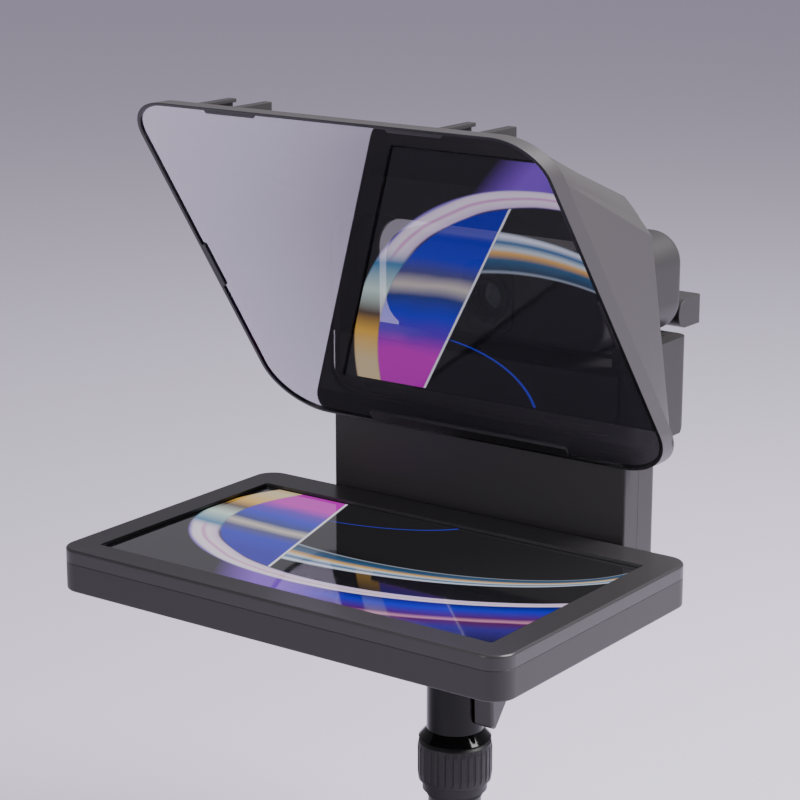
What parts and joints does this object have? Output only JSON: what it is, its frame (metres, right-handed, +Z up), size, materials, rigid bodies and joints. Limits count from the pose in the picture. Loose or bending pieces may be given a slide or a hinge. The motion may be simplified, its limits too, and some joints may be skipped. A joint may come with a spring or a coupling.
{
  "type": "teleprompter",
  "caption": "Desk teleprompter: display tray, tilted half-mirror in a tapered hood, webcam on a rear platform, ball head on a telescopic mast.",
  "frame": {"origin": "on the mast's axis at the mouth of the threaded hole in its lower end", "axes": "+X to the reader's right, +Y away from the reader, towards the webcam, +Z up along the mast"},
  "size_m": [0.222, 0.2455, 0.408],
  "materials": {
    "acetal": "natural",
    "anodised": "satin dark anodised",
    "black_gloss": "polished",
    "black_plastic": "fine matt texture",
    "black_steel": "blackened",
    "board": "solder-mask green",
    "brass": "plain",
    "bright_aluminium": "plain",
    "chrome_steel": "polished",
    "flock": "flocked",
    "foam": "closed-cell foam",
    "grey_plastic": "fine satin texture",
    "half_mirror": "half-silvered, clear",
    "lens_glass": "coated, clear",
    "rubber": "matt",
    "screen_glass": "polished cover over a dark picture",
    "screen_panel": "coated sheet",
    "sensor": "iridescent",
    "shell_plastic": "fine satin texture",
    "steel": "plain"
  },
  "bodies": {
    "mast": {"lower_tube": "anodised", "base_plug": "anodised", "collet": "acetal", "tube_ring": "rubber"},
    "collar": {"mast_collar": "grey_plastic"},
    "inner_mast": {"inner_tube": "bright_aluminium", "guide_bush": "acetal", "pan_base": "black_gloss"},
    "head": {"ball_housing": "black_gloss"},
    "lever": {"lock_lever": "grey_plastic"},
    "cup": {"ball_cup": "acetal"},
    "prompter": {"ball_stem": "chrome_steel", "tray_lower_shell": "shell_plastic", "tray_upper_bezel": "shell_plastic", "display_glass": "screen_glass", "display_panel": "screen_panel", "display_board": "board", "board_posts": "black_plastic", "usb_port": "steel", "tray_screws": "black_steel", "support_bracket": "steel", "mount_nut": "steel", "column_front_shell": "shell_plastic", "column_rear_cover": "shell_plastic", "column_screws": "black_steel", "platform_rails": "steel", "hood_shell": "shell_plastic", "hood_lining": "flock", "hood_screws": "black_steel", "mirror_glass": "half_mirror", "glass_gasket": "foam", "top_glass_clips": "black_plastic", "side_glass_clips": "black_plastic", "bottom_glass_bar": "black_plastic", "accessory_shoes": "shell_plastic", "camera_shroud": "black_plastic"},
    "platform": {"camera_platform": "shell_plastic", "platform_pad": "rubber", "clamp_nut": "steel"},
    "clamp_knob": {"platform_knob": "grey_plastic"},
    "camera": {"camera_front_shell": "grey_plastic", "camera_rear_shell": "grey_plastic", "camera_screws": "black_steel", "tripod_insert": "brass", "lens_panel": "black_plastic", "lens_ring": "anodised", "lens_barrel": "anodised", "lens_front_element": "lens_glass", "lens_rear_element": "lens_glass", "image_sensor": "sensor", "sensor_board": "board", "camera_main_board": "board", "heat_sink": "bright_aluminium", "clip_pin": "steel"},
    "camera_bolt": {"camera_screw": "black_steel"},
    "clip": {"clip_arm": "grey_plastic"}
  },
  "joints": [
    {"name": "collar_twist", "type": "hinge", "parent": "mast", "child": "collar", "pos_m": [0, 0, 0.1116], "axis": [0, 0, 1], "range_deg": [0, 90]},
    {"name": "mast_slide", "type": "slide", "parent": "mast", "child": "inner_mast", "axis": [0, 0, 1], "range_m": [0, 0.06]},
    {"name": "head_pan", "type": "hinge", "parent": "inner_mast", "child": "head", "pos_m": [0, 0, 0.135], "axis": [0, 0, 1], "continuous": true},
    {"name": "lever_turn", "type": "hinge", "parent": "head", "child": "lever", "pos_m": [0.0132, 0, 0.158], "axis": [1, 0, 0], "range_deg": [-90, 90]},
    {"name": "head_roll", "type": "hinge", "parent": "head", "child": "cup", "pos_m": [0, 0, 0.178], "axis": [0, 1, 0], "range_deg": [-30, 30]},
    {"name": "head_tilt", "type": "hinge", "parent": "cup", "child": "prompter", "pos_m": [0, 0, 0.178], "axis": [1, 0, 0], "range_deg": [-30, 30]},
    {"name": "platform_lift", "type": "slide", "parent": "prompter", "child": "platform", "axis": [0, 0, 1], "range_m": [-0.002, 0.003]},
    {"name": "clamp_knob_turn", "type": "hinge", "parent": "platform", "child": "clamp_knob", "pos_m": [0, 0.0929, 0.272], "axis": [0, 1, 0], "range_deg": [0, 360]},
    {"name": "camera_slide", "type": "slide", "parent": "platform", "child": "camera", "axis": [0, 1, 0], "range_m": [0, 0.008]},
    {"name": "camera_bolt_turn", "type": "hinge", "parent": "camera", "child": "camera_bolt", "pos_m": [0, 0.06, 0.29], "axis": [0, 0, 1], "range_deg": [0, 360]},
    {"name": "clip_fold", "type": "hinge", "parent": "camera", "child": "clip", "pos_m": [0, 0.09965, 0.304], "axis": [1, 0, 0], "range_deg": [-50, 60]}
  ]
}
